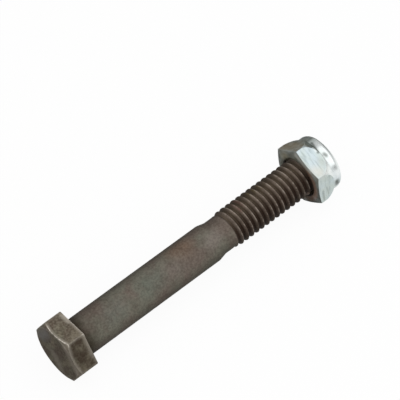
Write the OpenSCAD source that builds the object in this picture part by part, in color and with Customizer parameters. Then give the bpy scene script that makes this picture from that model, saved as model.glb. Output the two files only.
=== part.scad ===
// Hex bolt with a hexagon lock nut turned a few threads on to it.
// The bolt's axis is +X, from the head to the tip. The origin is the centre of the
// face under the head. The set lies on its side, with a flat of the head down.

/* [Bolt] */
// Length from the face under the head to the tip
bolt_length = 73; // [60:0.5:150]
// Diameter of the plain shank
shank_d = 9.525; // [7.9:0.005:12]
// Length of the thread with its run-out, measured from the tip
thread_length = 28; // [20:0.5:36]
// Diameter over the crests of the thread
thread_d = 9.45; // [7.8:0.01:11.6]
// Distance from one thread to the next
thread_pitch = 1.5875; // [1:0.0005:2]
// Length over which the thread rises out of the neck
run_out_length = 1.9; // [1:0.1:3]
// Diameter of the neck, which is the rod as it was before the thread was rolled
neck_d = 8.55; // [7:0.01:9.4]
// Plain length of the neck
neck_length = 3.5; // [1:0.1:8]
// Length of the cone between the shank and the neck
taper_length = 2.1; // [0.5:0.1:4]

/* [Head] */
// Width of the head across its flats
head_af = 14.29; // [11.5:0.01:18]
// Height of the head
head_height = 5.2; // [4:0.1:8]
// How far inside the flats the chamfer meets the top of the head
head_chamfer_inset = 0.12; // [0:0.01:1]
// Fillet between the shank and the face under the head
head_fillet = 0.3; // [0.1:0.05:0.6]

/* [Nut] */
// Width of the nut across its flats
nut_af = 14.29; // [11.8:0.01:18]
// Height of the nut with its collar
nut_height = 7.65; // [6.3:0.05:12]
// Height at which the domed crown takes over from a corner
corner_height = 1.75; // [1.5:0.05:2.5]
// Height at which the domed crown takes over from the middle of a flat
flat_height = 4.85; // [3.6:0.05:6]
// Rounding of the domed crown in section
crown_round = 6.2; // [5:0.1:8]
// How far inside the flats the chamfer meets the bearing face
nut_chamfer_inset = 0.4; // [0.1:0.01:1]
// Slope of the chamfer against the bearing face, in degrees
nut_chamfer_angle = 15; // [10:1:20]
// Length of thread that the nut has been turned on to
nut_on = 5.5; // [3:0.1:24]
// Turn of the nut's corners from straight up, in degrees
nut_turned = 7; // [0:1:59]

/* [Collar and locking ring] */
// Wall of the collar outside the locking ring
collar_wall = 0.65; // [0.4:0.05:1.5]
// Rounding of the collar where it is rolled over into the lip
rim_round = 1.4; // [0.7:0.05:1.6]
// Thickness of the lip at its edge
lip_thickness = 0.5; // [0.3:0.05:1]
// How far the lip reaches in over the ring
lip_cover = 0.3; // [0.1:0.05:0.8]
// Wall of the locking ring
ring_wall = 1.55; // [0.6:0.05:2]
// Height of the locking ring
ring_height = 2.3; // [1:0.1:3]
// Edge chamfer of the locking ring
ring_edge = 0.2; // [0.05:0.05:0.3]

/* [Clearances] */
// Gap between the thread's crests and the bores that pass over it
thread_clearance = 0.05; // [0.02:0.01:0.1]
// Gap between the locking ring and each face of its groove
ring_clearance = 0.04; // [0.02:0.01:0.1]

/* [Hidden] */
$fn = 96;

// Slope of the chamfer against the top of the head
head_chamfer_angle = 30;
// Depth of a unified thread as a share of its pitch
thread_depth_share = 0.6134;
// Reach of a cutting shape past the face that it cuts
over = 1;

shank_length = bolt_length - thread_length - neck_length - taper_length;
neck_start = shank_length + taper_length;
thread_start = bolt_length - thread_length;
crest_start = thread_start + run_out_length;
thread_r = thread_d / 2;
shank_r = shank_d / 2;
neck_r = neck_d / 2;
root_r = thread_r - thread_depth_share * thread_pitch;
point_length = thread_r - root_r;

head_chamfer_r = head_af / 2 - head_chamfer_inset;

nut_seat = bolt_length - nut_on;
nut_flat_r = nut_af / 2;
nut_corner_r = nut_flat_r / cos(30);
nut_face_r = nut_flat_r - nut_chamfer_inset;

// The crown's arc passes through a corner and through the middle of a flat
crown_run = nut_corner_r - nut_flat_r;
crown_rise = flat_height - corner_height;
crown_chord = norm([crown_run, crown_rise]);
crown_reach = sqrt(crown_round * crown_round - crown_chord * crown_chord / 4);
crown_centre_r = (nut_corner_r + nut_flat_r) / 2 - crown_reach * crown_rise / crown_chord;
crown_centre_height = (corner_height + flat_height) / 2 - crown_reach * crown_run / crown_chord;

bore_r = thread_r + thread_clearance;
mouth_r = thread_r + thread_pitch / 3;
mouth_depth = mouth_r - bore_r;
ring_r = bore_r + ring_wall;
groove_r = ring_r + ring_clearance;
groove_top = nut_height - lip_thickness;
groove_floor = groove_top - ring_height - 2 * ring_clearance;
lip_r = ring_r - lip_cover;
collar_r = groove_r + collar_wall;
rim_r = collar_r - rim_round;
// The rim's arc ends on the lip's edge, at the nut's full height
rim_rise = sqrt(rim_round * rim_round - pow(max(lip_r - rim_r, 0), 2));
rim_foot = nut_height - rim_rise;

// Lays a shape that stands on its end along the bolt's axis, its foot at x = at
module along_bolt(at) {
    translate([at, 0, 0]) rotate([0, 90, 0]) children();
}

// Hexagonal bar that stands on its end, its corners turned about the bolt's axis from straight up
module hexagon_bar(across_flats, height, turned) {
    rotate([0, 0, -turned]) cylinder(h = height, d = across_flats / cos(30), $fn = 6);
}

// Half-section of the bolt: core of the head, shank, taper, neck, run-out, thread and point
module bolt_section() {
    polygon([
        [0, -head_height / 2],
        [shank_r, -head_height / 2],
        [shank_r, shank_length],
        [neck_r, neck_start],
        [neck_r, thread_start],
        [thread_r, crest_start],
        [thread_r, bolt_length - point_length],
        [root_r, bolt_length],
        [0, bolt_length]
    ]);
}

// Section of the fillet under the head, left between a rectangle and a circle
module head_fillet_section() {
    difference() {
        translate([shank_r - head_fillet, -head_fillet]) square([2 * head_fillet, 2 * head_fillet]);
        translate([shank_r + head_fillet, head_fillet]) circle(r = head_fillet);
    }
}

// Hexagon head with its top down: a forged hexagon in a turned chamfer cone
module head() {
    cone_growth = head_height / tan(head_chamfer_angle);
    intersection() {
        hexagon_bar(head_af, head_height, 30);
        cylinder(h = head_height, r1 = head_chamfer_r, r2 = head_chamfer_r + cone_growth);
    }
}

// Half-section of the turned faces that cut the nut's hexagon: bearing chamfer and domed crown
module nut_turned_section() {
    outer_r = nut_corner_r + over;
    chamfer_height = (outer_r - nut_face_r) * tan(nut_chamfer_angle);
    polygon([
        [0, 0],
        [nut_face_r, 0],
        [outer_r, chamfer_height],
        [outer_r, max(chamfer_height, crown_centre_height)],
        [0, max(chamfer_height, crown_centre_height)]
    ]);
    intersection() {
        translate([crown_centre_r, crown_centre_height]) circle(r = crown_round);
        translate([0, crown_centre_height / 2]) square([outer_r, rim_foot - crown_centre_height / 2]);
    }
}

// Half-section of the collar, which stands in the crown and is rolled over at its rim
module collar_section() {
    polygon([
        [0, corner_height],
        [collar_r, corner_height],
        [collar_r, rim_foot],
        [rim_r, rim_foot],
        [rim_r, nut_height],
        [0, nut_height]
    ]);
    translate([rim_r, rim_foot]) circle(r = rim_round);
}

// Section of all that is hollow in the nut: mouth, bore, groove and opening in the lip
module nut_hollow_section() {
    polygon([
        [0, -over],
        [mouth_r + over, -over],
        [bore_r, mouth_depth],
        [bore_r, groove_floor],
        [groove_r, groove_floor],
        [groove_r, groove_top],
        [lip_r, groove_top],
        [lip_r, nut_height + over],
        [0, nut_height + over]
    ]);
}

// Half-section of the locking ring, standing on the groove's floor
module ring_section() {
    polygon([
        [bore_r, 0],
        [ring_r - ring_edge, 0],
        [ring_r, ring_edge],
        [ring_r, ring_height - ring_edge],
        [ring_r - ring_edge, ring_height],
        [bore_r + ring_edge, ring_height],
        [bore_r, ring_height - ring_edge]
    ]);
}

// The bolt, forged and rolled from one rod. Its thread is the plain cylinder over the crests.
module bolt() {
    color("dimgray") union() {
        along_bolt(-head_height) head();
        along_bolt(0) rotate_extrude() bolt_section();
        along_bolt(0) rotate_extrude() head_fillet_section();
    }
}

// The zinc-plated nut, its collar crimped over the locking ring
module nut() {
    color("lightsteelblue") along_bolt(nut_seat) difference() {
        union() {
            intersection() {
                hexagon_bar(nut_af, nut_height, nut_turned);
                rotate_extrude() nut_turned_section();
            }
            rotate_extrude() collar_section();
        }
        rotate_extrude() nut_hollow_section();
    }
}

// The nylon ring that grips the thread
module locking_ring() {
    color("darkkhaki") along_bolt(nut_seat + groove_floor + ring_clearance)
        rotate_extrude() ring_section();
}

bolt();
nut();
locking_ring();
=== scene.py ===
# %% [markdown]
# # A hex bolt with its lock nut
# The real object is three pieces: a dark steel bolt, a bright zinc-plated nut and the nylon ring
# inside the nut. The plain model of them, true in every size, is loaded first. This lesson gives
# each piece the skin of the real one: a rolled thread, rounded and worn edges, and three finishes.
# Nothing is moved or resized: every new piece stands exactly where the plain one stood.

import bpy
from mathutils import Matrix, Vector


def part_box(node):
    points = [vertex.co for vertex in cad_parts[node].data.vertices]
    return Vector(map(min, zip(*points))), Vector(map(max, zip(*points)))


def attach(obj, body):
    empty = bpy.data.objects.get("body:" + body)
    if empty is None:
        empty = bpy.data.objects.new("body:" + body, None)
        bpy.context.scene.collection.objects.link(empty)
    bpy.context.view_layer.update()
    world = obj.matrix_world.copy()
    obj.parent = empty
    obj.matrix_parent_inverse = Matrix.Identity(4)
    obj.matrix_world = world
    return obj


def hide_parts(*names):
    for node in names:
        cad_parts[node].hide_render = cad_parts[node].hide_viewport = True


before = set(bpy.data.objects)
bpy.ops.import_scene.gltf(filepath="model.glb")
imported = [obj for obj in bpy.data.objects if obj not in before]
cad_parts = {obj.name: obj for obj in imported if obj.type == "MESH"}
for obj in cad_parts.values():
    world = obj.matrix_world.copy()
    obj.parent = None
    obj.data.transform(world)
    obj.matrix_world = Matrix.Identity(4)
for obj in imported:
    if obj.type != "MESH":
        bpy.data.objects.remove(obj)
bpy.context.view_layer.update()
MM = 0.001


def in_mm(numbers):
    """A place or a size in millimetres, for printing."""
    return [round(v / MM, 2) for v in numbers]


# %% [markdown]
# ## Tools for every cell
# Shaders count light in linear steps, while a maker reads colours as hex codes, so one helper turns
# the one into the other. A second adds a node of any kind, in shader trees and in Geometry Nodes
# alike, and hands back the socket that the next node needs, so a tree reads like a sum. A third
# puts a mesh, a lamp or a camera into the scene.

# %% Helpers
import math

import bpy
from mathutils import Euler, Matrix, Quaternion, Vector

MATH = "ShaderNodeMath"
VECTOR_MATH = "ShaderNodeVectorMath"
# Fed in order, a ramp takes its value, its start, its end, and what it gives there, else 0 and 1.
RAMP = "ShaderNodeMapRange"
SPLIT = "ShaderNodeSeparateXYZ"
NOISE = "ShaderNodeTexNoise"
PAINT = "ShaderNodeAttribute"
BUMP = "ShaderNodeBump"
SURFACE = "ShaderNodeBsdfPrincipled"


def linear(hex_colour):
    """The linear colour, with alpha, of an sRGB hex code."""
    channels = [int(hex_colour[i:i + 2], 16) / 255 for i in (1, 3, 5)]
    return (*[c / 12.92 if c <= 0.04045 else ((c + 0.055) / 1.055) ** 2.4 for c in channels], 1.0)


def add(tree, kind, values=(), out=0, **settings):
    """Adds a node, fed in order or by name or number. Returns an output, or for None the node."""
    node = tree.nodes.new(kind)
    for name, value in settings.items():
        setattr(node, name, value)
    pairs = values.items() if isinstance(values, dict) else enumerate(values)
    for name, value in pairs:
        if isinstance(value, bpy.types.NodeSocket):
            tree.links.new(value, node.inputs[name])
        else:
            node.inputs[name].default_value = value
    return node if out is None else node.outputs[out]


def placed(name, data):
    """Puts a mesh, a lamp or a camera into the scene."""
    thing = bpy.data.objects.new(name, data)
    bpy.context.scene.collection.objects.link(thing)
    return thing


print("white is", [round(c, 3) for c in linear("#ffffff")])

# %% [markdown]
# ## The camera
# The photograph was taken with a long lens from above, on the head's side. Its place was found by
# fitting a pinhole camera to the outlines in the photograph, so it is given here as a photographer
# would: how far, from which side, how high, and how much the camera was tipped. It comes before
# the pieces, because every look at the work needs it.

# %% Camera
AIM = Vector((46.36, 10.70, 0.0)) * MM
CAMERA_DISTANCE = 612.85 * MM
CAMERA_AZIMUTH = -37.15
CAMERA_ELEVATION = 52.29
CAMERA_ROLL = -4.90
# Blender takes the lens and the sensor in millimetres.
LENS = 238.06
SENSOR = 36.0


def aimed(name, data, azimuth, elevation, distance, roll=0.0):
    """Puts a camera or a lamp that far from the aim, facing it. Angles are in degrees."""
    side = math.radians(azimuth)
    rise = math.radians(elevation)
    towards = Vector((math.sin(side) * math.cos(rise), -math.cos(side) * math.cos(rise), math.sin(rise)))
    thing = placed(name, data)
    thing.location = AIM + towards * distance
    thing.rotation_mode = "QUATERNION"
    level = (-towards).to_track_quat("-Z", "Y")
    thing.rotation_quaternion = level @ Quaternion((0, 0, 1), math.radians(roll))
    return thing


camera_data = bpy.data.cameras.new("photo_camera")
camera_data.lens = LENS
camera_data.sensor_width = SENSOR
camera_data.clip_start = 0.01
camera_data.clip_end = 10.0
camera = aimed("photo_camera", camera_data, CAMERA_AZIMUTH, CAMERA_ELEVATION, CAMERA_DISTANCE, CAMERA_ROLL)
bpy.context.scene.camera = camera
print("camera at", in_mm(camera.location), "mm")

# %% [markdown]
# ## Sizes of the bolt
# The plain model's box gives the main sizes, so nothing here can drift from it. The few that a box
# cannot show, such as the width of the neck, are the standard's or the drawing's own. Places count
# along x, from the seat under the head, and radii count from the bolt's axis.

# %% Bolt sizes
bolt_low, bolt_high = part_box("bolt")
HEAD_TOP = bolt_low.x
HEAD_FLAT_R = bolt_high.z
TIP = bolt_high.x
SHANK_R = 4.7625 * MM
NECK_R = 4.275 * MM
THREAD_START = TIP - 29.4 * MM
NECK_START = THREAD_START - 2.1 * MM
SHANK_END = NECK_START - 2.1 * MM
NECK_ROUND = 2.0 * MM
HEAD_ROUND = 0.3 * MM
HEAD_CHAMFER_ROUND = 0.4 * MM
HEAD_CHAMFER_R = HEAD_FLAT_R - 0.12 * MM
HEAD_CHAMFER_SLOPE = math.tan(math.radians(30))
# The first corner of the head stands this many degrees from the bolt's top.
HEAD_TURNED = 30.0
print("shank ends and thread starts at", in_mm([SHANK_END, THREAD_START]), "mm")

# %% [markdown]
# ## A turned and forged skin
# A hexagon head is a six-sided bar whose ends were turned on a lathe. So one outline is enough for
# all of it: the half-section from the axis outwards, drawn once for each direction round the axis,
# with only the radius of the flats changing. Where two lines of the outline meet, the real piece is
# a little rounded, and handling has worn that rounding bright. The first helper rounds each corner
# of the outline and notes how worn it is. The second says where the columns of points stand round a
# hexagon. The third stitches the skin, column by column, into one closed mesh. A subdivided cube
# with bevels could look similar, but its chamfers would not be cones.

# %% Rounded outline
ARC_STEPS = 4
SUPPORT = 0.03 * MM
WORN_BAND = 0.55 * MM
# The most that a rounding, its support and its worn band may take of a line beside the corner.
ROUNDING_SHARE = 0.42
SUPPORT_SHARE = 0.02
BAND_SHARE = 0.47
# How worn a corner's rounding is at its two ends, and just outside them.
ARC_END_WEAR = 0.4
SHOULDER_WEAR = 0.35


def rounded(outline):
    """Rounds an outline of (x, r, rounding, wear, share) corners into (x, r, wear, share) points."""
    points = []
    for i, (x, r, rounding, wear, share) in enumerate(outline):
        here = Vector((x, r))
        if rounding == 0:
            points.append((x, r, wear, share))
            continue
        before = Vector(outline[i - 1][:2]) - here
        after = Vector(outline[(i + 1) % len(outline)][:2]) - here
        shortest = min(before.length, after.length)
        reach = min(rounding / math.tan(before.angle(after) / 2), ROUNDING_SHARE * shortest)
        support = reach + min(SUPPORT, SUPPORT_SHARE * shortest)
        shoulders = []
        for line in (before, after):
            way = line.normalized()
            band = min(reach + WORN_BAND, BAND_SHARE * line.length)
            unworn = [(*(here + way * band), 0.0, share)] if wear > 0 else []
            shoulders.append([*unworn, (*(here + way * support), SHOULDER_WEAR * wear, share)])
        points.extend(shoulders[0])
        for step in range(ARC_STEPS + 1):
            t = step / ARC_STEPS
            bend = here + before.normalized() * reach * (1 - t) ** 2 + after.normalized() * reach * t ** 2
            bend_wear = ARC_END_WEAR + (1 - ARC_END_WEAR) * math.sin(math.pi * t)
            points.append((*bend, wear * bend_wear, share))
        points.extend(reversed(shoulders[1]))
    return points


print("a plain corner becomes", ARC_STEPS + 3, "points and a worn one", ARC_STEPS + 5)

# %% Columns of a hexagon
COLUMNS = 144
SECTOR = COLUMNS // 6
HALF_SIDE = math.radians(30)


def hexagon_columns(flat_r, corner_round, turned, wear=0.0):
    """For each column: its angle on the flats, its even angle, the radius of the flats and its wear."""
    centre = (flat_r - corner_round) / math.cos(HALF_SIDE)
    tangent = math.degrees(math.atan2(corner_round / 2, centre + corner_round * math.cos(HALF_SIDE)))
    # Columns crowd beside a corner: on it, halfway round it, at its rounding's end, and twice on the flat.
    near = [0.0, tangent / 2, tangent, tangent + 0.4, tangent + 3.2]
    worn = [1.0, 0.85, ARC_END_WEAR, SHOULDER_WEAR, 0.0]
    last = len(near) - 1
    step = (60 - 2 * near[last]) / (SECTOR - 2 * last)
    first = round(turned * COLUMNS / 360)
    columns = []
    for j in range(COLUMNS):
        k = (j - first) % SECTOR
        beside = min(k, SECTOR - k)
        delta = near[beside] if beside <= last else near[last] + (beside - last) * step
        offset = delta if k <= SECTOR // 2 else 60 - delta
        delta = math.radians(delta)
        if delta < math.radians(tangent):
            radius = centre * math.cos(delta) + math.sqrt(corner_round ** 2 - (centre * math.sin(delta)) ** 2)
        else:
            radius = flat_r / math.cos(HALF_SIDE - delta)
        corner = turned + 60 * ((j - first) // SECTOR)
        column_wear = wear * worn[beside] if beside <= last else 0.0
        columns.append((math.radians(corner + offset), math.tau * j / COLUMNS, radius, column_wear))
    return columns


print("a hexagon has", COLUMNS, "columns,", SECTOR, "for each flat")

# %% Skin
ON_FLAT = 0.02 * MM


def skin(name, columns, outline_of, closed=False):
    """Mesh object through the outlines of all columns. A point on the axis becomes a pole."""
    vertices, wears, grid = [], [], []
    for flats_angle, even_angle, flats_r, column_wear in columns:
        rows = []
        for x, r, wear, share in rounded(outline_of(flats_r)):
            if r == 0 and grid:
                rows.append(grid[0][len(rows)])
                continue
            # Its share, 0 to 1, leads a point from the even angle to the angle on the flats.
            angle = even_angle + (flats_angle - even_angle) * share
            on_flats = share == 1 and abs(r - flats_r) < ON_FLAT
            rows.append(len(vertices))
            vertices.append((x, -r * math.sin(angle), r * math.cos(angle)))
            wears.append(max(wear, column_wear if on_flats else 0.0))
        grid.append(rows)
    faces = []
    for j, rows in enumerate(grid):
        beside = grid[(j + 1) % len(grid)]
        for i in range(len(rows) if closed else len(rows) - 1):
            k = (i + 1) % len(rows)
            quad = [rows[i], beside[i], beside[k], rows[k]]
            faces.append(list(dict.fromkeys(quad)))
    mesh = bpy.data.meshes.new(name)
    mesh.from_pydata(vertices, [], faces)
    mesh.attributes.new("wear", "FLOAT", "POINT").data.foreach_set("value", wears)
    mesh.shade_smooth()
    print(name, "has", len(mesh.vertices), "points and", len(mesh.polygons), "faces")
    return placed(name, mesh)


# %% [markdown]
# ## The bolt's blank
# A bolt starts as a rod whose end is struck into a head. What is left plain is the shank; the part
# that will carry the thread is drawn down first, so a neck shows between the two. This outline
# runs from the middle of the head's top, over the chamfer and down the flats, in under the head,
# and along the shank to where the thread begins. A corner's last number is 1 on the hexagon and 0
# on the round rod.

# %% Bolt blank
HEAD_CORNER_WEAR = 0.6


def bolt_outline(flats_r):
    chamfer_x = HEAD_TOP + (flats_r - HEAD_CHAMFER_R) * HEAD_CHAMFER_SLOPE
    return [
        (HEAD_TOP, 0.0, 0.0, 0.0, 1),
        (HEAD_TOP, HEAD_CHAMFER_R, HEAD_CHAMFER_ROUND, 0.35, 1),
        (chamfer_x, flats_r, HEAD_ROUND, 1.0, 1),
        (0.0, flats_r, HEAD_ROUND, 0.8, 1),
        (0.0, SHANK_R, HEAD_ROUND, 0.0, 0),
        (SHANK_END, SHANK_R, NECK_ROUND, 0.0, 0),
        (NECK_START, NECK_R, NECK_ROUND, 0.0, 0),
        (THREAD_START, NECK_R, 0.0, 0.0, 0),
    ]


head_columns = hexagon_columns(HEAD_FLAT_R, HEAD_ROUND, HEAD_TURNED, HEAD_CORNER_WEAR)
bolt_blank = skin("bolt_blank", head_columns, bolt_outline)

# %% [markdown]
# ## The rolled thread
# A thread is the clearest case of a shape that follows a rule: one ridge profile, repeated every
# pitch along the axis and carried once round for each pitch. Bending a ridge along a helix curve
# would leave overlaps at every turn. Instead Geometry Nodes take a flat grid whose rows are slanted
# by one pitch, so that its lines already run along the ridge, wrap it round the axis and sink each
# point by the height of the profile. At its start the ridge rises out of the neck, as the rolling
# dies leave it, and at the tip a cone cuts it off. The nut's inside is the same rule turned
# inwards, so one tree serves both.

# %% Thread sizes
PITCH = 1.5875 * MM
THREAD_DEPTH = 0.6134 * PITCH
CREST_R = 4.725 * MM
ROOT_R = CREST_R - THREAD_DEPTH
RUN_OUT = 2.6 * MM
# Slides both ridges alike, so that the nut's fits between the bolt's.
THREAD_SHIFT = 0.60 * MM
# A crest's flat land is an eighth of the pitch wide, and flanks 60 degrees apart fall this steeply.
HALF_LAND = 1 / 16
FLANK_SLOPE = math.sqrt(3)
CREST_SOFT = 0.08 * MM
ROOT_SOFT = 0.25 * MM
LEAD_OUT_SLOPE = 2.0
ROWS_PER_PITCH = 18
WELD = 0.002 * MM
THREAD = {"Pitch": PITCH, "Crest radius": CREST_R, "Depth": THREAD_DEPTH, "Shift": THREAD_SHIFT,
    "Columns": COLUMNS, "Rows per pitch": ROWS_PER_PITCH}
print("thread of", round((TIP - THREAD_START) / PITCH, 1), "pitches, root radius", in_mm([ROOT_R]), "mm")

# %% Thread inputs and slanted grid
THREAD_INPUTS = {
    "Geometry": ["Blank"],
    "Float": ["Start", "End", "Pitch", "Shift", "Crest radius", "Depth", "Fade length", "Fade radius",
        "Clearance"],
    "Int": ["Columns", "Rows per pitch"],
    "Material": ["Finish"],
}


def thread_group(name):
    """A Geometry Nodes group with the thread's named inputs, and those inputs' sockets inside it."""
    tree = bpy.data.node_groups.new(name, "GeometryNodeTree")
    for kind, labels in THREAD_INPUTS.items():
        for label in labels:
            tree.interface.new_socket(label, in_out="INPUT", socket_type="NodeSocket" + kind)
    tree.interface.new_socket("Threaded", in_out="OUTPUT", socket_type="NodeSocketGeometry")
    return tree, tree.nodes.new("NodeGroupInput").outputs


def slanted_grid(tree, given):
    """A flat grid, and for each of its points the turn round the axis and the place along it."""
    start, end, pitch = given["Start"], given["End"], given["Pitch"]
    length = add(tree, MATH, [end, start], operation="SUBTRACT")
    pitches = add(tree, MATH, [length, pitch], operation="DIVIDE")
    pitches = add(tree, MATH, [pitches, 1.0], operation="ADD")
    rows = add(tree, MATH, [pitches, given["Rows per pitch"]], operation="MULTIPLY")
    rows = add(tree, MATH, [rows], operation="CEIL")
    row_points = add(tree, MATH, [rows, 1.0], operation="ADD")
    column_points = add(tree, MATH, [given["Columns"], 1.0], operation="ADD")
    grid = add(tree, "GeometryNodeMeshGrid", [1.0, 1.0, column_points, row_points])
    place = add(tree, SPLIT, [add(tree, "GeometryNodeInputPosition")], out=None).outputs
    turn = add(tree, MATH, [place["X"], 0.5], operation="ADD")
    climb = add(tree, MATH, [place["Y"], 0.5], operation="ADD")
    row = add(tree, MATH, [climb, rows], operation="MULTIPLY")
    row = add(tree, MATH, [row, given["Rows per pitch"]], operation="DIVIDE")
    slanted = add(tree, MATH, [row, turn], operation="ADD")
    slanted = add(tree, MATH, [slanted, 1.0], operation="SUBTRACT")
    along = add(tree, MATH, [slanted, pitch, start], operation="MULTIPLY_ADD")
    along = add(tree, MATH, [along, start], operation="MAXIMUM")
    along = add(tree, MATH, [along, end], operation="MINIMUM")
    return grid, turn, along


print("the thread takes", sum(len(labels) for labels in THREAD_INPUTS.values()), "inputs")

# %% Ridge profile


def ridge_fall(tree, given, turn, along):
    """How far each point of the grid sinks below the crests: flat land, straight flank, soft root."""
    shifted = add(tree, MATH, [along, given["Shift"]], operation="SUBTRACT")
    turns_past = add(tree, MATH, [shifted, given["Pitch"]], operation="DIVIDE")
    phase = add(tree, MATH, [turns_past, turn], operation="SUBTRACT")
    phase = add(tree, MATH, [phase], operation="FRACT")
    from_crest = add(tree, MATH, [phase, 0.5], operation="SUBTRACT")
    from_crest = add(tree, MATH, [from_crest], operation="ABSOLUTE")
    from_crest = add(tree, MATH, [from_crest, HALF_LAND], operation="SUBTRACT")
    fall = add(tree, MATH, [from_crest, given["Pitch"]], operation="MULTIPLY")
    fall = add(tree, MATH, [fall, FLANK_SLOPE], operation="MULTIPLY")
    fall = add(tree, MATH, [fall, 0.0, CREST_SOFT], operation="SMOOTH_MAX")
    return add(tree, MATH, [fall, given["Depth"], ROOT_SOFT], operation="SMOOTH_MIN")


def thread_radius(tree, given, fall, along, inside):
    """The radius of each point, with the thread's two ends, and how far the ridge has risen there."""
    past_start = add(tree, MATH, [along, given["Start"]], operation="SUBTRACT")
    before_end = add(tree, MATH, [given["End"], along], operation="SUBTRACT")
    ridge = add(tree, MATH, [given["Crest radius"], fall], operation="SUBTRACT")
    fade = [past_start, 0.0, given["Fade length"]]
    if inside:
        ridge = add(tree, MATH, [ridge, given["Clearance"]], operation="ADD")
        ridge = add(tree, MATH, [ridge, given["Fade radius"]], operation="MAXIMUM")
        widest = add(tree, MATH, [given["Crest radius"], given["Clearance"]], operation="ADD")
        lead_in = add(tree, MATH, [widest, past_start], operation="SUBTRACT")
        lead_out = add(tree, MATH, [before_end, -LEAD_OUT_SLOPE, widest], operation="MULTIPLY_ADD")
        radius = add(tree, MATH, [ridge, lead_in], operation="MAXIMUM")
        return add(tree, MATH, [radius, lead_out], operation="MAXIMUM"), add(tree, RAMP, fade)
    rise = add(tree, RAMP, fade, interpolation_type="SMOOTHSTEP")
    lift = add(tree, MATH, [ridge, given["Fade radius"]], operation="SUBTRACT")
    radius = add(tree, MATH, [rise, lift, given["Fade radius"]], operation="MULTIPLY_ADD")
    root = add(tree, MATH, [given["Crest radius"], given["Depth"]], operation="SUBTRACT")
    point = add(tree, MATH, [root, before_end], operation="ADD")
    return add(tree, MATH, [radius, point], operation="MINIMUM"), rise


print("flanks fall", round(FLANK_SLOPE, 2), "mm for each mm along the bolt")

# %% Thread tree


def thread_tree(name, inside):
    """Geometry Nodes that weld an outside or an inside thread to an open blank."""
    tree, given = thread_group(name)
    grid, turn, along = slanted_grid(tree, given)
    fall = ridge_fall(tree, given, turn, along)
    radius, rise = thread_radius(tree, given, fall, along, inside)
    angle = add(tree, MATH, [turn, -math.tau], operation="MULTIPLY")
    sideways = add(tree, MATH, [add(tree, MATH, [angle], operation="SINE"), radius], operation="MULTIPLY")
    upwards = add(tree, MATH, [add(tree, MATH, [angle], operation="COSINE"), radius], operation="MULTIPLY")
    target = add(tree, "ShaderNodeCombineXYZ", [along, sideways, upwards])
    hollow = add(tree, MATH, [fall, given["Depth"]], operation="DIVIDE")
    hollow = add(tree, MATH, [hollow, rise], operation="MULTIPLY")
    noted = {"Geometry": grid, "Name": "hollow", "Value": hollow}
    noted = add(tree, "GeometryNodeStoreNamedAttribute", noted, data_type="FLOAT", domain="POINT")
    wrapped = add(tree, "GeometryNodeSetPosition", {"Geometry": noted, "Position": target})
    parts = [given["Blank"], wrapped]
    if inside:
        parts[1] = add(tree, "GeometryNodeFlipFaces", [wrapped])
    else:
        root = add(tree, MATH, [given["Crest radius"], given["Depth"]], operation="SUBTRACT")
        disc = add(tree, "GeometryNodeMeshCircle", {"Vertices": given["Columns"], "Radius": root},
            fill_type="TRIANGLE_FAN")
        tip_place = add(tree, "ShaderNodeCombineXYZ", [given["End"], 0.0, 0.0])
        parts.append(add(tree, "GeometryNodeTransform", {"Geometry": disc, "Translation": tip_place,
            "Rotation": Euler((0.0, math.pi / 2, 0.0))}))
    joined = add(tree, "GeometryNodeJoinGeometry", out=None)
    for part in parts:
        tree.links.new(part, joined.inputs[0])
    welded = add(tree, "GeometryNodeMergeByDistance", {"Geometry": joined.outputs[0], "Distance": WELD})
    real = add(tree, "GeometryNodeRealizeInstances", [welded])
    finished = add(tree, "GeometryNodeSetMaterial", {"Geometry": real, "Material": given["Finish"]})
    add(tree, "NodeGroupOutput", [finished], out=None)
    return tree


rolled_thread = thread_tree("rolled_thread", inside=False)
tapped_thread = thread_tree("tapped_thread", inside=True)
print("nodes in the rolled and tapped thread:", len(rolled_thread.nodes), len(tapped_thread.nodes))

# %% Run the tree


def open_edges(mesh):
    """How many edges of a mesh are not shared by two faces."""
    uses = {}
    for face in mesh.polygons:
        for key in face.edge_keys:
            uses[key] = uses.get(key, 0) + 1
    return sum(1 for count in uses.values() if count != 2)


def threaded(blank, name, tree, inputs):
    """Runs the tree on the blank and returns the result as one plain mesh object."""
    modifier = blank.modifiers.new("thread", "NODES")
    modifier.node_group = tree
    for item in tree.interface.items_tree:
        if item.item_type == "SOCKET" and item.in_out == "INPUT" and item.name in inputs:
            modifier[item.identifier] = inputs[item.name]
    evaluated = blank.evaluated_get(bpy.context.evaluated_depsgraph_get())
    mesh = bpy.data.meshes.new_from_object(evaluated)
    mesh.name = name
    mesh.shade_smooth()
    blank.modifiers.remove(modifier)
    bpy.data.objects.remove(blank)
    print(name, "has", len(mesh.polygons), "faces and", open_edges(mesh), "open edges")
    return placed(name, mesh)


print("the blank alone has", open_edges(bolt_blank.data), "open edges, where the thread will join it")

# %% [markdown]
# ## Soil and painted shade, and edges rubbed bright
# Oil and dirt settle on some faces, painted shade and dark reflections lie on others, and hands
# polish some edges more than others. A noise cannot know which. So all are painted on the points of
# a finished mesh, by a rule that looks at where a point is and which way the surface faces there,
# and the finish reads them as attributes. Angles round the axis count from the top towards the camera's side.

# %% Painting helpers


def smooth(low, high, value):
    """Rises softly from 0 at low to 1 at high, which may also be the smaller of the two."""
    t = min(max((value - low) / (high - low), 0.0), 1.0)
    return t * t * (3 - 2 * t)


def across(degrees):
    """The direction from the axis at that angle round it."""
    return Vector((0.0, -math.sin(math.radians(degrees)), math.cos(math.radians(degrees))))


def angle_round(place):
    """How far round the axis a place is, in degrees."""
    return math.degrees(math.atan2(-place.y, place.z))


def paint(piece, name, rule):
    """Gives each point of a mesh a value that a rule works out from its place and normal."""
    values = [rule(point.co, point.normal) for point in piece.data.vertices]
    piece.data.attributes.new(name, "FLOAT", "POINT").data.foreach_set("value", values)
    print(name, "on", piece.name, "from", round(min(values), 2), "to", round(max(values), 2))


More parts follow.
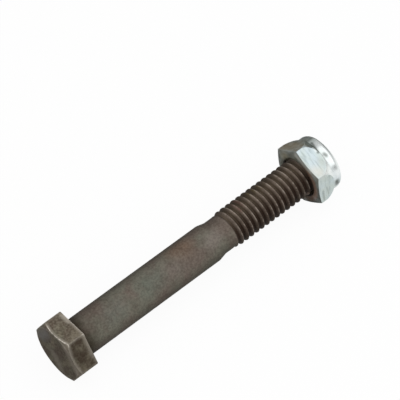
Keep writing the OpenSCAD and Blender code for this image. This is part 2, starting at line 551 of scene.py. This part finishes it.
print("the head's first corner stands at", round(angle_round(across(HEAD_TURNED))), "degrees")

# %% [markdown]
# ## Coats and marks
# Both metals are coloured as a painter would, coat over coat. A coat is a colour and what it
# covers: a noise, a zone of the piece, something painted on it, or several of them multiplied.
# Noise gives patches, blotches and grain, but the larger stains and rubbed places sit where heat
# and handling left them. Each of those is a mark: a soft stroke along a line, laid at the place in
# millimetres where the real piece has it.
# Some marks are painted light: shade on the thread's far side and beside the nut, a highlight on its last
# ridge, and on the nut shade, dark reflections and highlights.

# %% Coats and marks


def new_material(name):
    """An empty material and its tree."""
    material = bpy.data.materials.new(name)
    material.use_nodes = True
    material.node_tree.nodes.clear()
    return material, material.node_tree


def per_mm(size):
    """Noise scale at which one feature is about that many millimetres across."""
    return 1 / (size * MM)


def coated(tree, colour, coats):
    """Lays coats over a colour, lowest first. A coat is its colour, then covers that are multiplied."""
    for tint, cover, *parts in coats:
        for part in parts:
            cover = add(tree, MATH, [cover, part], operation="MULTIPLY")
        over = linear(tint) if isinstance(tint, str) else tint
        # A Mix node's colours are its inputs 6 and 7 and its output 2.
        colour = add(tree, "ShaderNodeMix", {0: cover, 6: colour, 7: over}, out=2, data_type="RGBA")
    return colour


def mark(tree, where, start, end, reach):
    """1 along a line, given in millimetres, falling softly to 0 at its reach."""
    way = (Vector(end) - Vector(start)) * MM
    from_start = add(tree, VECTOR_MATH, [where, Vector(start) * MM], operation="SUBTRACT")
    along = add(tree, VECTOR_MATH, [from_start, way / way.length_squared], out=1, operation="DOT_PRODUCT")
    along = add(tree, RAMP, [along])
    nearest = add(tree, VECTOR_MATH, {0: way, "Scale": along}, operation="SCALE")
    away = add(tree, VECTOR_MATH, [from_start, nearest], out=1, operation="DISTANCE")
    return add(tree, RAMP, [away, reach * MM, 0.0], interpolation_type="SMOOTHSTEP")


def marked(tree, where, colour, marks):
    """Lays marks over a colour. Each is its line's start and end, its reach, its strength and its colour."""
    for start, end, reach, strength, tint in marks.values():
        colour = coated(tree, colour, [(tint, mark(tree, where, start, end, reach), strength)])
    return colour


print("noise 6 mm across has scale", round(per_mm(6.0), 1))

# %% [markdown]
# ## Finish of the bolt: heat-darkened steel
# The bolt was hardened and quenched in oil and never plated. That leaves a thin brown-grey scale,
# patchy where the oil burned off, and dull, because it hides nearly all of the metal's shine. It is
# darkest in the thread's grooves, where oil and dirt stay and painted shade is added, and rubbed to
# bare metal along the sharp edges, which follow the wear that the outline noted. The crests carry a
# painted highlight, and the rod a painted shade towards its outline. The patches are 6 mm across and
# the blotches 2.2 mm. The real grain is finer than the picture can show, so it is drawn at half a millimetre.

# %% Marks on the bolt
HEAT_MARKS = {
    "oil burnt off near the neck": ((30.5, 0.5, 4.7), (32.5, 0.5, 4.7), 4.5, 0.8, "#705c4d"),
    "tempered grey-green, middle": ((19.5, -2.2, 4.2), (22.5, -2.2, 4.2), 4.5, 0.7, "#666c62"),
    "tempered grey-green, near head": ((9.0, -2.5, 4.0), (11.0, -2.5, 4.0), 4.0, 0.6, "#676a62"),
    "scuffed, middle": ((27.5, -2.3, 4.1), (28.5, -2.3, 4.1), 4.0, 0.5, "#746d66"),
    "scuffed, near neck": ((38.5, -2.5, 4.1), (40.0, -2.3, 4.1), 3.4, 0.7, "#7f7770"),
    "smoked beside the head": ((5.3, -2.0, 4.3), (6.0, 1.0, 4.6), 3.5, 0.3, "#4a4038"),
}
USE_AND_LIGHT_MARKS = {
    # Painted shade on the thread's far side.
    "painted shade, far side of the thread": ((47.0, 3.3, 3.4), (67.5, 3.3, 3.4), 4.0, 0.8, "#42382f"),
    "rust on the first ridges": ((50.0, 2.8, 3.5), (49.4, -0.4, 4.7), 1.6, 0.6, "#6e4840"),
    "oil on the middle ridges": ((54.0, 1.9, 4.3), (57.0, 1.7, 4.3), 1.9, 0.6, "#5a4e2a"),
    # Painted shade on the thread beside the nut.
    "painted shade beside the nut": ((66.7, -3.4, 3.2), (66.7, -4.7, -1.0), 1.3, 0.5, "#2a2019"),
    # A painted highlight on the last ridge beside the nut.
    "painted highlight on the ridge beside the nut": ((66.5, -3.5, -2.4), (66.5, -4.2, -1.4), 0.6, 0.9, "#c7aa98"),
    "rubbed top, beside the lower flat": ((-5.2, -3.55, 6.0), (-5.2, -7.35, -0.6), 1.7, 0.6, "#857b71"),
    "grey top, far rim": ((-5.2, 5.6, 1.2), (-5.2, 3.3, 4.6), 2.6, 0.65, "#72706e"),
    "rubbed top, lower rim": ((-5.2, 1.2, -1.5), (-5.2, -0.5, -5.0), 2.4, 0.65, "#7d756b"),
    "rubbed lower flat, bearing edge": ((-0.5, -4.5, 6.8), (-0.5, -7.2, 2.0), 0.9, 0.33, "#8a8279"),
    "rubbed upper flat, bearing edge": ((-0.7, 3.1, 7.15), (-0.7, 0.6, 7.15), 0.7, 0.4, "#b8b0a4"),
}
print("marks on the bolt:", len(HEAT_MARKS), "of heat and", len(USE_AND_LIGHT_MARKS), "of use")

# %% Quenched steel: zones and noise
HEAD_BLEND = 0.3 * MM
quenched_steel, tree = new_material("quenched_steel")
where = add(tree, "ShaderNodeTexCoord", out="Object")
place = add(tree, SPLIT, [where], out=None).outputs
on_head = add(tree, RAMP, [place["X"], HEAD_BLEND, -HEAD_BLEND])
on_rod = add(tree, MATH, [on_head, -1.0, 1.0], operation="MULTIPLY_ADD")
on_thread = add(tree, RAMP, [place["X"], 44.0 * MM, 47.0 * MM])
patches = add(tree, NOISE, {"Vector": where, "Scale": per_mm(6.0), "Detail": 3.0, "Roughness": 0.55})
blotches = add(tree, NOISE, {"Vector": where, "Scale": per_mm(2.2), "Detail": 3.0, "Roughness": 0.6})
grain = add(tree, NOISE, {"Vector": where, "Scale": per_mm(0.5), "Detail": 3.0, "Roughness": 0.6})
# The clouds are drawn out along one line across the head.
drawn_out = add(tree, "ShaderNodeMapping", {"Vector": where, "Rotation": (math.radians(31.8), 0.0, 0.0),
    "Scale": (1.0, 1.0, 2.7)}, vector_type="TEXTURE")
clouds = add(tree, NOISE, {"Vector": drawn_out, "Scale": per_mm(2.2), "Detail": 2.0, "Roughness": 0.5})
painted = ("soil_and_shade", "hollow", "wear", "rubbed")
soil_and_shade, hollow, wear, rubbed = [add(tree, PAINT, out="Fac", attribute_name=name) for name in painted]
print("zones and noise take", len(tree.nodes), "nodes")

# %% Quenched steel: the scale
grey_green = add(tree, RAMP, [patches, 0.4, 0.6])
colour = coated(tree, linear("#6a5f57"), [("#6b695e", grey_green)])
colour = marked(tree, where, colour, HEAT_MARKS)
# Painted light and shade on the ridges: paler away from the camera's side, darker on the side facing it.
ridge_painted_light = add(tree, RAMP, [place["Y"], -4.6 * MM, 0.0])
ridge = coated(tree, linear("#4c3d33"), [("#8d7e72", ridge_painted_light)])
blotch = add(tree, RAMP, [blotches, 0.48, 0.68, 0.0, 0.4])
colour = coated(tree, colour, [
    (ridge, on_thread, 0.85),
    ("#4c423a", blotch),
    ("#676148", on_head, 0.35),
])
print("with the scale,", len(tree.nodes), "nodes")

# %% Quenched steel: clouds on the head, and the grain
uneven = add(tree, MATH, [soil_and_shade, 0.55], operation="ADD", use_clamp=True)
plum = add(tree, RAMP, [clouds, 0.5, 0.6])
pale = add(tree, RAMP, [clouds, 0.5, 0.38])
dark_grain = add(tree, RAMP, [grain, 0.5, 0.62])
pale_grain = add(tree, RAMP, [grain, 0.5, 0.38])
roughened = add(tree, MATH, [on_head, 0.3, 0.35], operation="MULTIPLY_ADD")
colour = coated(tree, colour, [
    ("#503e37", plum, uneven, on_head, 0.55),
    ("#8f8672", pale, uneven, on_head, 0.36),
    ("#3f3830", dark_grain, roughened, 0.7),
    ("#8f887a", pale_grain, roughened, 0.5),
])
print("with clouds and grain,", len(tree.nodes), "nodes")

# %% Quenched steel: oil, dirt, use and painted shade
# Painted shade and dirt darken the shank beside the head's underside.
HEAD_SHADE_ALONG_SHANK = 5.0 * MM
head_shade_and_dirt = [place["X"], HEAD_SHADE_ALONG_SHANK, 0.2 * MM, 0.0, 0.85]
head_shade_and_dirt = add(tree, RAMP, head_shade_and_dirt, interpolation_type="SMOOTHSTEP")
head_shade_and_dirt = add(tree, MATH, [head_shade_and_dirt, on_rod], operation="MULTIPLY")
soil_and_shade = add(tree, MATH, [soil_and_shade, head_shade_and_dirt], operation="MAXIMUM")
ragged = add(tree, RAMP, [clouds, 0.4, 0.6, 0.76, 1.1])
colour = coated(tree, colour, [("#2e2518", soil_and_shade, ragged)])
colour = marked(tree, where, colour, USE_AND_LIGHT_MARKS)
# Painted shade and grime darken the thread's grooves, by how deep a point lies.
groove_shade_and_grime = add(tree, RAMP, [hollow, 0.19, 0.68, 0.0, 0.95])
# Painted light and shade in the grooves: paler away from the camera's side.
groove_painted_light = add(tree, RAMP, [place["Y"], -3.3 * MM, 0.0])
groove = coated(tree, linear("#32231a"), [("#5a4e40", groove_painted_light)])
colour = coated(tree, colour, [(groove, groove_shade_and_grime)])
print("with oil, dirt and use,", len(tree.nodes), "nodes")

# %% Quenched steel: bare edges, painted crest highlight, painted edge shade and surface
# Painted highlight on the thread's crests, laid in patches.
crest_highlight = add(tree, RAMP, [hollow, 0.14, 0.02, 0.0, 0.4])
highlight_patches = add(tree, RAMP, [blotches, 0.52, 0.42])
rub = add(tree, RAMP, [grain, 0.4, 0.55, 0.35, 1.0])
rub = add(tree, MATH, [rub, rubbed], operation="MULTIPLY")
bare = add(tree, MATH, [wear, rub], operation="MULTIPLY")
blunt = add(tree, MATH, [rubbed, -0.16, 0.17], operation="MULTIPLY_ADD")
blunt = add(tree, RAMP, [wear, 0.0, SHOULDER_WEAR, 0.0, blunt])
bare = add(tree, MATH, [bare, blunt], operation="MAXIMUM")
facing = add(tree, "ShaderNodeLayerWeight", {"Blend": 0.5}, out="Facing")
# Painted shade: the rod darkens towards its outline, where it turns away from the camera.
edge_shade = add(tree, RAMP, [facing, 0.25, 0.7, 0.0, 0.55])
colour = coated(tree, colour, [
    ("#b3a79c", crest_highlight, on_thread, highlight_patches),
    ("#ded6ca", bare),
    ("#2a251f", edge_shade, on_rod),
])
bump = add(tree, BUMP, {"Height": grain, "Distance": 0.05 * MM, "Strength": 0.6})
steel = add(tree, SURFACE, {"Base Color": colour, "Metallic": 0.1, "Roughness": 0.75,
    "Specular IOR Level": 0.12, "Normal": bump})
add(tree, "ShaderNodeOutputMaterial", {"Surface": steel}, out=None)
print("bolt finish:", quenched_steel.name, "with", len(tree.nodes), "nodes")

# %% [markdown]
# ## Thread the bolt
# Now the tree runs on the blank. The result is taken as a plain mesh, because a live modifier
# would be lost when the model leaves Blender. Then the rules for the head's darker faces and for rubbed
# edges are painted on it: the lower flat is the head's flat at 60 degrees, and the upper flat is the one at
# the top.

# %% Bolt
bolt = threaded(bolt_blank, "bolt_with_thread", rolled_thread, {
    **THREAD, "Start": THREAD_START, "End": TIP, "Fade length": RUN_OUT, "Fade radius": NECK_R,
    "Finish": quenched_steel,
})
LOWER_FLAT = across(60)
TOP_DARKENING = 0.38
LOWER_FLAT_DARKENING = 0.6


def bolt_head_darkening(place, normal):
    """Darker on the top of the head and on its lower flat."""
    head_top = TOP_DARKENING * smooth(-0.8, -0.98, normal.x)
    lower_flat = LOWER_FLAT_DARKENING * smooth(0.9, 0.99, normal.dot(LOWER_FLAT))
    return max(head_top, lower_flat) if place.x < 0 else 0.0


def bolt_rubbed(place, normal):
    """How bright the worn edges are: most on the upper flat, and where three edges meet."""
    around = angle_round(place)
    on_corner = smooth(4, 2, abs(around - HEAD_TURNED))
    upper_flat = 0.95 * smooth(38, 30, around) * smooth(-30, -20, around)
    end_of_corner = smooth(-1.0, -0.4, place.x / MM)
    along_corner = 0.1 + 0.9 * max(end_of_corner, smooth(-3.9, -4.5, place.x / MM))
    return upper_flat * (1 - on_corner) + along_corner * on_corner + 0.2 * (1 - on_corner) * (1 - upper_flat)


paint(bolt, "soil_and_shade", bolt_head_darkening)
paint(bolt, "rubbed", bolt_rubbed)
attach(bolt, "bolt")
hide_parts("bolt")

# %% [markdown]
# ## The nut's blank
# The nut is pressed from a blank: a hexagon with a lightly chamfered seat below, a domed crown
# above, and a thin collar whose rim was rolled over the nylon ring after it was dropped in. The
# outline starts at the mouth of the thread, goes round the outside, over the rim and back into the
# ring's groove. The thread tree closes it from the inside. The main sizes come from the boxes of
# the plain nut and ring, and heights count from the nut's seat.

# %% Nut sizes
nut_low, nut_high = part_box("nut")
ring_low, ring_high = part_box("locking_ring")
NUT_SEAT = nut_low.x
NUT_TOP = nut_high.x
RING_START = ring_low.x
RING_END = ring_high.x
RING_R = ring_high.z
NUT_FLAT_R = 7.145 * MM
NUT_CORNER_R = NUT_FLAT_R / math.cos(HALF_SIDE)
NUT_CORNER_ROUND = 0.25 * MM
NUT_TURNED = -7.0
NUT_FACE_R = NUT_FLAT_R - 0.4 * MM
NUT_CHAMFER_SLOPE = math.tan(math.radians(15))
CROWN_ROUND = 6.2 * MM
CROWN_CORNER_HEIGHT = 1.75 * MM
CROWN_FLAT_HEIGHT = 4.85 * MM
THREAD_PLAY = 0.05 * MM
BORE_R = CREST_R + THREAD_PLAY
MOUTH_R = CREST_R + PITCH / 3
MOUTH_DEPTH = MOUTH_R - BORE_R
RING_PLAY = 0.04 * MM
GROOVE_R = RING_R + RING_PLAY
GROOVE_FLOOR = RING_START - RING_PLAY
GROOVE_TOP = RING_END + RING_PLAY
LIP_R = RING_R - 0.3 * MM
COLLAR_R = GROOVE_R + 0.65 * MM
RIM_ROUND = 1.4 * MM
RIM_R = COLLAR_R - RIM_ROUND
RIM_FOOT = NUT_TOP - math.sqrt(RIM_ROUND ** 2 - (LIP_R - RIM_R) ** 2)
print("nut from, to, and its collar's wall:", in_mm([NUT_SEAT, NUT_TOP, COLLAR_R - GROOVE_R]), "mm")

# %% Crown
CROWN_STEPS = 6
# The crown's arc goes through a corner of the hexagon and the middle of a flat.
corner = Vector((CROWN_CORNER_HEIGHT, NUT_CORNER_R))
flat = Vector((CROWN_FLAT_HEIGHT, NUT_FLAT_R))
chord = flat - corner
inwards = Vector((-abs(chord.y), -abs(chord.x))).normalized()
CENTRE = (corner + flat) / 2 + inwards * math.sqrt(CROWN_ROUND ** 2 - chord.length_squared / 4)


def crown_arc(flats_r):
    """Outline corners from the edge of the flats over the crown to the foot of the collar."""
    start = math.acos((flats_r - CENTRE.y) / CROWN_ROUND)
    end = math.acos((COLLAR_R - CENTRE.y) / CROWN_ROUND)
    arc = []
    for step in range(CROWN_STEPS + 1):
        t = step / CROWN_STEPS
        angle = start + (end - start) * t
        x = NUT_SEAT + CENTRE.x + CROWN_ROUND * math.sin(angle)
        arc.append((x, CENTRE.y + CROWN_ROUND * math.cos(angle), 0.0, 0.0, 1 - t))
    arc[0] = (*arc[0][:2], 0.25 * MM, 0.3, 1)
    arc[-1] = (*arc[-1][:2], 0.2 * MM, 0.0, 0)
    return arc


print("the crown's arc is centred at height and radius", in_mm(CENTRE), "mm")

# %% Nut blank
RIM_STEPS = 8


def nut_outline(flats_r):
    """The zinc has no bare edges: a wear above 0 only adds the points that keep a flat level."""
    chamfer_x = NUT_SEAT + (flats_r - NUT_FACE_R) * NUT_CHAMFER_SLOPE
    rim = []
    for step in range(RIM_STEPS):
        angle = math.acos((LIP_R - RIM_R) / RIM_ROUND) * step / RIM_STEPS
        rim.append((RIM_FOOT + RIM_ROUND * math.sin(angle), RIM_R + RIM_ROUND * math.cos(angle), 0.0, 0.0, 0))
    return [
        (NUT_SEAT + MOUTH_DEPTH, BORE_R, 0.0, 0.0, 0),
        (NUT_SEAT, MOUTH_R, 0.06 * MM, 0.0, 0),
        (NUT_SEAT, NUT_FACE_R, 0.25 * MM, 0.3, 1),
        (chamfer_x, flats_r, 0.2 * MM, 0.3, 1),
        *crown_arc(flats_r),
        *rim,
        (NUT_TOP, LIP_R, 0.1 * MM, 0.0, 0),
        (GROOVE_TOP, LIP_R, 0.06 * MM, 0.0, 0),
        (GROOVE_TOP, GROOVE_R, 0.0, 0.0, 0),
        (GROOVE_FLOOR, GROOVE_R, 0.0, 0.0, 0),
        (GROOVE_FLOOR, BORE_R, 0.0, 0.0, 0),
    ]


nut_blank = skin("nut_blank", hexagon_columns(NUT_FLAT_R, NUT_CORNER_ROUND, NUT_TURNED), nut_outline)

# %% [markdown]
# ## Finish of the nut: zinc plate
# Zinc plate with a clear blue-white passivation is what makes the nut so much brighter than the
# bolt. It is a true metal finish, smooth but not a mirror, so it shows its surroundings softened.
# The passivation is a film thinner than light's wavelength, which leaves faint blue and green
# clouds, 4 mm across, with straw in a place or two. The pressing under it shows as drawn lines,
# made coarser than the real ones so that they show. Dirt and painted shade are dull, so they take the gloss
# as well.

# %% Marks on the nut
ZINC_MARKS = {
    # A painted dark reflection in the corner between the crown and the collar.
    "painted dark reflection above the crown": ((72.9, 1.2, 6.9), (72.1, -1.85, 7.0), 0.6, 0.8, "#5a605b"),
    "dull spot on the collar": ((73.1, -2.9, 6.35), (73.25, -3.3, 6.2), 0.85, 0.7, "#5a605b"),
    "smaller dull spot": ((73.6, -5.8, 3.9), (73.8, -6.1, 3.5), 0.85, 0.35, "#5a605b"),
    # Painted shade low on the collar.
    "painted shade low on the collar": ((73.1, -7.0, 0.0), (73.4, -7.0, -1.2), 1.2, 1.0, "#5a605b"),
    "rubbed seat edge": ((67.62, 0.8, 7.2), (67.55, -4.0, 5.6), 1.0, 0.65, "#b4b5ac"),
    "grime on the seat's far corner": ((67.75, 2.2, 7.3), (67.6, 2.6, 6.2), 0.8, 0.2, "#3b4540"),
    "rust low on the seat": ((67.5, -5.3, 2.6), (67.5, -5.5, 1.2), 1.0, 0.4, "#7d6a60"),
    # Painted highlights on the ridge above the upper flat and on the crown's lower corner.
    "painted highlight above the upper flat": ((71.9, -0.4, 7.4), (71.85, -1.4, 7.15), 0.5, 0.5, "#eaf0f0"),
    "painted highlight, crown's lower corner": ((71.1, -6.3, 4.6), (71.7, -6.0, 4.9), 1.2, 0.6, "#fafffa"),
    # Painted shade under the seat.
    "painted shade under the seat": ((67.5, -1.6, -5.8), (67.5, -4.8, -4.2), 1.9, 0.65, "#2a2013"),
    "rubbed seat, far side": ((67.5, 5.4, 2.6), (67.5, 4.3, 4.2), 1.4, 0.7, "#96927f"),
    "dust in the mouth, far side": ((67.6, 4.4, 2.6), (67.6, 1.0, 5.0), 1.0, 0.75, "#6b6857"),
    "yellowed far flat": ((69.0, 5.6, 4.7), (71.0, 4.2, 5.9), 3.5, 0.4, "#6a5c3e"),
    "dull upper flat, crown side": ((71.0, -3.6, 6.3), (71.5, -4.6, 5.8), 1.6, 0.35, "#a9adab"),
    "warm upper flat, seat side": ((68.6, -4.8, 5.8), (69.2, -5.6, 5.4), 2.2, 0.5, "#d0cabd"),
    "drawn line, lower flat": ((68.7, -7.15, 0.3), (68.7, -7.5, -2.6), 0.5, 0.4, "#5a605b"),
    "second drawn line": ((69.9, -7.1, 0.6), (70.2, -7.4, -1.6), 0.35, 0.3, "#5a605b"),
}
print("marks on the nut:", len(ZINC_MARKS))

# %% Zinc: film and drawn lines
blue_white_zinc, tree = new_material("blue_white_zinc")
where = add(tree, "ShaderNodeTexCoord", out="Object")
clouds = add(tree, NOISE, {"Vector": where, "Scale": per_mm(4.0), "Detail": 2.0, "Roughness": 0.5})
film = add(tree, RAMP, [clouds, 0.38, 0.62])
lines = add(tree, "ShaderNodeMapping", {"Vector": where, "Scale": (5.0, 1.0, 1.0)})
drawn = add(tree, NOISE, {"Vector": lines, "Scale": per_mm(3.0), "Detail": 4.0, "Roughness": 0.6})
streak = add(tree, RAMP, [drawn, 0.5, 0.68, 0.0, 0.45])
painted = ("soil_and_shade", "hollow", "gleam")
soil_and_shade, hollow, gleam = [add(tree, PAINT, out="Fac", attribute_name=name) for name in painted]
# The gleam coat is a painted highlight on the crown and the collar.
colour = coated(tree, linear("#c1cdd1"), [("#bec8c3", film), ("#8f9c9c", streak), ("#f2f6f5", gleam)])
print("film and lines take", len(tree.nodes), "nodes")

# %% Zinc: dirt and painted shade
place = add(tree, SPLIT, [where], out=None).outputs
height = add(tree, MATH, [place["X"], NUT_SEAT], operation="SUBTRACT")
from_axis = add(tree, VECTOR_MATH, [where, (0.0, 1.0, 1.0)], operation="MULTIPLY")
radius = add(tree, VECTOR_MATH, [from_axis], out=1, operation="LENGTH")
beyond_mouth = add(tree, RAMP, [radius, 5.2 * MM, 5.6 * MM])
at_rim = add(tree, RAMP, [radius, 6.3 * MM, 6.9 * MM])
rusty_side = add(tree, RAMP, [place["Y"], 0.0, -3.5 * MM])
lit_side = add(tree, RAMP, [place["Z"], 1.0 * MM, 4.0 * MM])
on_flats = add(tree, RAMP, [height, 0.3 * MM, 0.6 * MM])
by_crown = add(tree, RAMP, [height, 2.9 * MM, 4.2 * MM])
# Dirt and painted shade share this colour: darkest deep in the mouth, greyer beyond it, paler on the lit side
# of the rim.
dirt_and_shade = coated(tree, linear("#1f170f"), [
    (coated(tree, linear("#6a6b61"), [("#7b6454", rusty_side)]), beyond_mouth),
    (coated(tree, linear("#44473f"), [("#6f7067", lit_side)]), at_rim),
    ("#5b4f31", on_flats),
    ("#3b423a", by_crown),
])
smear = add(tree, NOISE, {"Vector": where, "Scale": per_mm(1.6), "Detail": 3.0, "Roughness": 0.6})
thin = add(tree, RAMP, [smear, 0.35, 0.65, 0.8, 1.0])
soil_and_shade = add(tree, MATH, [soil_and_shade, thin], operation="MULTIPLY", use_clamp=True)
colour = coated(tree, colour, [(dirt_and_shade, soil_and_shade)])
print("with dirt,", len(tree.nodes), "nodes")

# %% Zinc: marks, the rim's painted dark reflection and the surface
colour = marked(tree, where, colour, ZINC_MARKS)
# A painted dark reflection in a thin line along the rim, fading out towards the camera's side.
rim_reflection_below = add(tree, RAMP, [height, 6.85 * MM, 7.05 * MM])
rim_reflection_above = add(tree, RAMP, [height, 7.25 * MM, 7.15 * MM])
rim_reflection_side = add(tree, RAMP, [place["Y"], -5.0 * MM, -1.5 * MM])
# The tapped thread's grooves get painted shade.
colour = coated(tree, colour, [("#666c66", rim_reflection_below, rim_reflection_above, rim_reflection_side), ("#2a241c", hollow)])
polish = add(tree, RAMP, [drawn, 0.3, 0.7, 0.24, 0.38])
rough = add(tree, MATH, [soil_and_shade, 0.3, polish], operation="MULTIPLY_ADD")
metal = add(tree, MATH, [soil_and_shade, -0.95, 1.0], operation="MULTIPLY_ADD")
gloss = add(tree, MATH, [soil_and_shade, -0.42, 0.5], operation="MULTIPLY_ADD")
bump = add(tree, BUMP, {"Height": drawn, "Distance": 0.02 * MM, "Strength": 0.5})
zinc = add(tree, SURFACE, {"Base Color": colour, "Metallic": metal, "Roughness": rough,
    "Specular IOR Level": gloss, "Normal": bump})
add(tree, "ShaderNodeOutputMaterial", {"Surface": zinc}, out=None)
print("nut finish:", blue_white_zinc.name, "with", len(tree.nodes), "nodes")

# %% [markdown]
# ## Thread the nut
# The same tree, turned inwards, closes the blank. Painted shade and dirt darken the seat and the
# mouth of the thread, and a painted dark reflection lies on the flat that turns away from the camera
# and on the crown beside it. A painted highlight makes the crown and the collar gleam where they face up and
# towards the camera.

# %% Nut
nut = threaded(nut_blank, "lock_nut", tapped_thread, {
    **THREAD, "Start": NUT_SEAT + MOUTH_DEPTH, "End": GROOVE_FLOOR, "Clearance": THREAD_PLAY,
    "Fade length": 0.2 * MM, "Fade radius": ROOT_R + 0.2 * MM, "Finish": blue_white_zinc,
})
FAR_FLAT = across(-37)
# Painted shade and dirt in the mouth, and a painted dark reflection on the far flat.
MOUTH_SHADE_AND_DIRT = 1.25
FAR_FLAT_DARK_REFLECTION = 0.9
GLEAM = 0.85


def nut_shade_and_dirt(place, normal):
    """Painted shade and dirt on the seat and in the thread's mouth; painted dark reflection on the far flat
    and crown.
    """
    seat = smooth(-0.7, -0.95, normal.x)
    from_axis = math.hypot(place.y, place.z)
    if from_axis < MOUTH_R + 0.2 * MM and place.x < NUT_SEAT + 2.0 * MM:
        seat = MOUTH_SHADE_AND_DIRT
    outward = Vector((0.0, normal.y, normal.z)).normalized()
    flat = FAR_FLAT_DARK_REFLECTION * smooth(0.9, 0.97, outward.dot(FAR_FLAT))
    around = angle_round(place)
    past_flat = smooth(-80, -65, around) * smooth(12, 3, around)
    crown = past_flat * smooth(0.2, 0.4, normal.x) * smooth(5.4, 4.9, (place.x - NUT_SEAT) / MM)
    return max(seat, flat, crown)


def nut_gleam(place, normal):
    """Painted highlight on the crown and the collar, from the top round to the camera's side."""
    around = angle_round(place)
    crown = smooth(0.02, 0.15, normal.x) * smooth(5, 15, around)
    collar = smooth(4.9, 5.2, (place.x - NUT_SEAT) / MM) * max(0.4, smooth(-14, -4, around))
    return GLEAM * max(crown, collar) * smooth(100, 70, around)


paint(nut, "soil_and_shade", nut_shade_and_dirt)
paint(nut, "gleam", nut_gleam)
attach(nut, "nut")
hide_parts("nut")

# %% [markdown]
# ## The locking ring
# The ring that grips the thread is turned from undyed nylon, which is waxy, a little see-through at
# its edges and olive-beige. Its section is a rectangle with small roundings, swept once round, so
# the skin helper makes it with even columns. A faint haze, 1.5 mm across, keeps it from looking
# like paint.

# %% Locking ring
natural_nylon, tree = new_material("natural_nylon")
where = add(tree, "ShaderNodeTexCoord", out="Object")
haze = add(tree, NOISE, {"Vector": where, "Scale": per_mm(1.5), "Detail": 3.0})
colour = coated(tree, linear("#8f9070"), [("#7d7d5e", haze)])
bump = add(tree, BUMP, {"Height": haze, "Distance": 0.01 * MM, "Strength": 0.4})
nylon = add(tree, SURFACE, {"Base Color": colour, "Roughness": 0.42, "IOR": 1.53, "Subsurface Weight": 0.25,
    "Subsurface Radius": (0.6, 0.5, 0.3), "Subsurface Scale": 0.4 * MM, "Normal": bump})
add(tree, "ShaderNodeOutputMaterial", {"Surface": nylon}, out=None)


def ring_outline(_):
    return [
        (RING_START, BORE_R, 0.12 * MM, 0.0, 0),
        (RING_START, RING_R, 0.2 * MM, 0.0, 0),
        (RING_END, RING_R, 0.2 * MM, 0.0, 0),
        (RING_END, BORE_R, 0.2 * MM, 0.0, 0),
    ]


even_columns = [(math.tau * j / COLUMNS, math.tau * j / COLUMNS, 0.0, 0.0) for j in range(COLUMNS)]
ring = skin("nylon_ring", even_columns, ring_outline, closed=True)
ring.data.materials.append(natural_nylon)
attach(ring, "locking_ring")
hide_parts("locking_ring")

# %% [markdown]
# ## The table
# Lying on a table, the bolt rests on one flat of its head and one corner of the nut. The corner
# reaches further from the axis than the flat, so the bolt lies under a degree out of level. The
# floor is laid through those two contacts, and the object itself stays straight in its frame.
# The photograph's paper is burnt out to white. The camera sees that white directly, and the
# shadow stays as a soft darkening under the object.

# %% Paper
BURNT_OUT = 0.94
white_paper, tree = new_material("white_paper")
rays = add(tree, "ShaderNodeLightPath", out=None).outputs
seen = add(tree, MATH, [rays["Is Camera Ray"], rays["Is Glossy Ray"]], operation="MAXIMUM")
seen = add(tree, MATH, [seen, rays["Is Transmission Ray"]], operation="MAXIMUM")
paper = add(tree, "ShaderNodeBsdfDiffuse", {"Color": coated(tree, linear("#a8a8a6"), [("#f8f8f7", seen)])})
glow = add(tree, "ShaderNodeEmission", {"Color": linear("#ffffff"), "Strength": 1.0})
glowing = add(tree, MATH, [seen, BURNT_OUT], operation="MULTIPLY")
shown = add(tree, "ShaderNodeMixShader", [glowing, paper, glow])
add(tree, "ShaderNodeOutputMaterial", {"Surface": shown}, out=None)
print("floor material:", white_paper.name)

# %% Floor
HALF_FLOOR = 0.6
head_edge = Vector((HEAD_TOP + (HEAD_FLAT_R - HEAD_CHAMFER_R) * HEAD_CHAMFER_SLOPE, 0.0, -HEAD_FLAT_R))
nut_edge = Vector((NUT_SEAT + (NUT_CORNER_R - NUT_FACE_R) * NUT_CHAMFER_SLOPE, 0.0, nut_low.z))
slope = math.atan2(head_edge.z - nut_edge.z, nut_edge.x - head_edge.x)
corners = [(HALF_FLOOR * x, HALF_FLOOR * y, 0) for x, y in ((-1, -1), (1, -1), (1, 1), (-1, 1))]
floor_mesh = bpy.data.meshes.new("floor")
floor_mesh.from_pydata(corners, [], [(0, 1, 2, 3)])
floor_mesh.materials.append(white_paper)
floor_mesh.transform(Matrix.Translation(head_edge) @ Matrix.Rotation(slope, 4, "Y"))
floor = placed("floor", floor_mesh)
print("floor slopes", round(math.degrees(slope), 3), "degrees")

# %% [markdown]
# ## Light
# One wide soft lamp overhead, a little towards the camera, gives the shank its broad pale band and
# the nut its bright flat. A plain white world at a little over half strength fills the rest, so
# that a colour renders about as it is written. The camera itself sees the world at full white.

# %% Lamp and world
LAMP_AZIMUTH = 5.0
LAMP_ELEVATION = 60.0
LAMP_DISTANCE = 0.6
LAMP_SIZE = 1.2
LAMP_POWER = 3.5
ROOM_STRENGTH = 0.58
lamp = bpy.data.lights.new("overhead", "AREA")
lamp.size = LAMP_SIZE
lamp.energy = LAMP_POWER
aimed("overhead", lamp, LAMP_AZIMUTH, LAMP_ELEVATION, LAMP_DISTANCE)
world = bpy.data.worlds.new("studio")
world.use_nodes = True
tree = world.node_tree
tree.nodes.clear()
white = {"Color": linear("#ffffff")}
room, full = [add(tree, "ShaderNodeBackground", {**white, "Strength": s}) for s in (ROOM_STRENGTH, 1.0)]
camera_ray = add(tree, "ShaderNodeLightPath", out="Is Camera Ray")
seen_room = add(tree, "ShaderNodeMixShader", [camera_ray, room, full])
add(tree, "ShaderNodeOutputWorld", {"Surface": seen_room}, out=None)
bpy.context.scene.world = world
bpy.context.scene.view_settings.view_transform = "Standard"
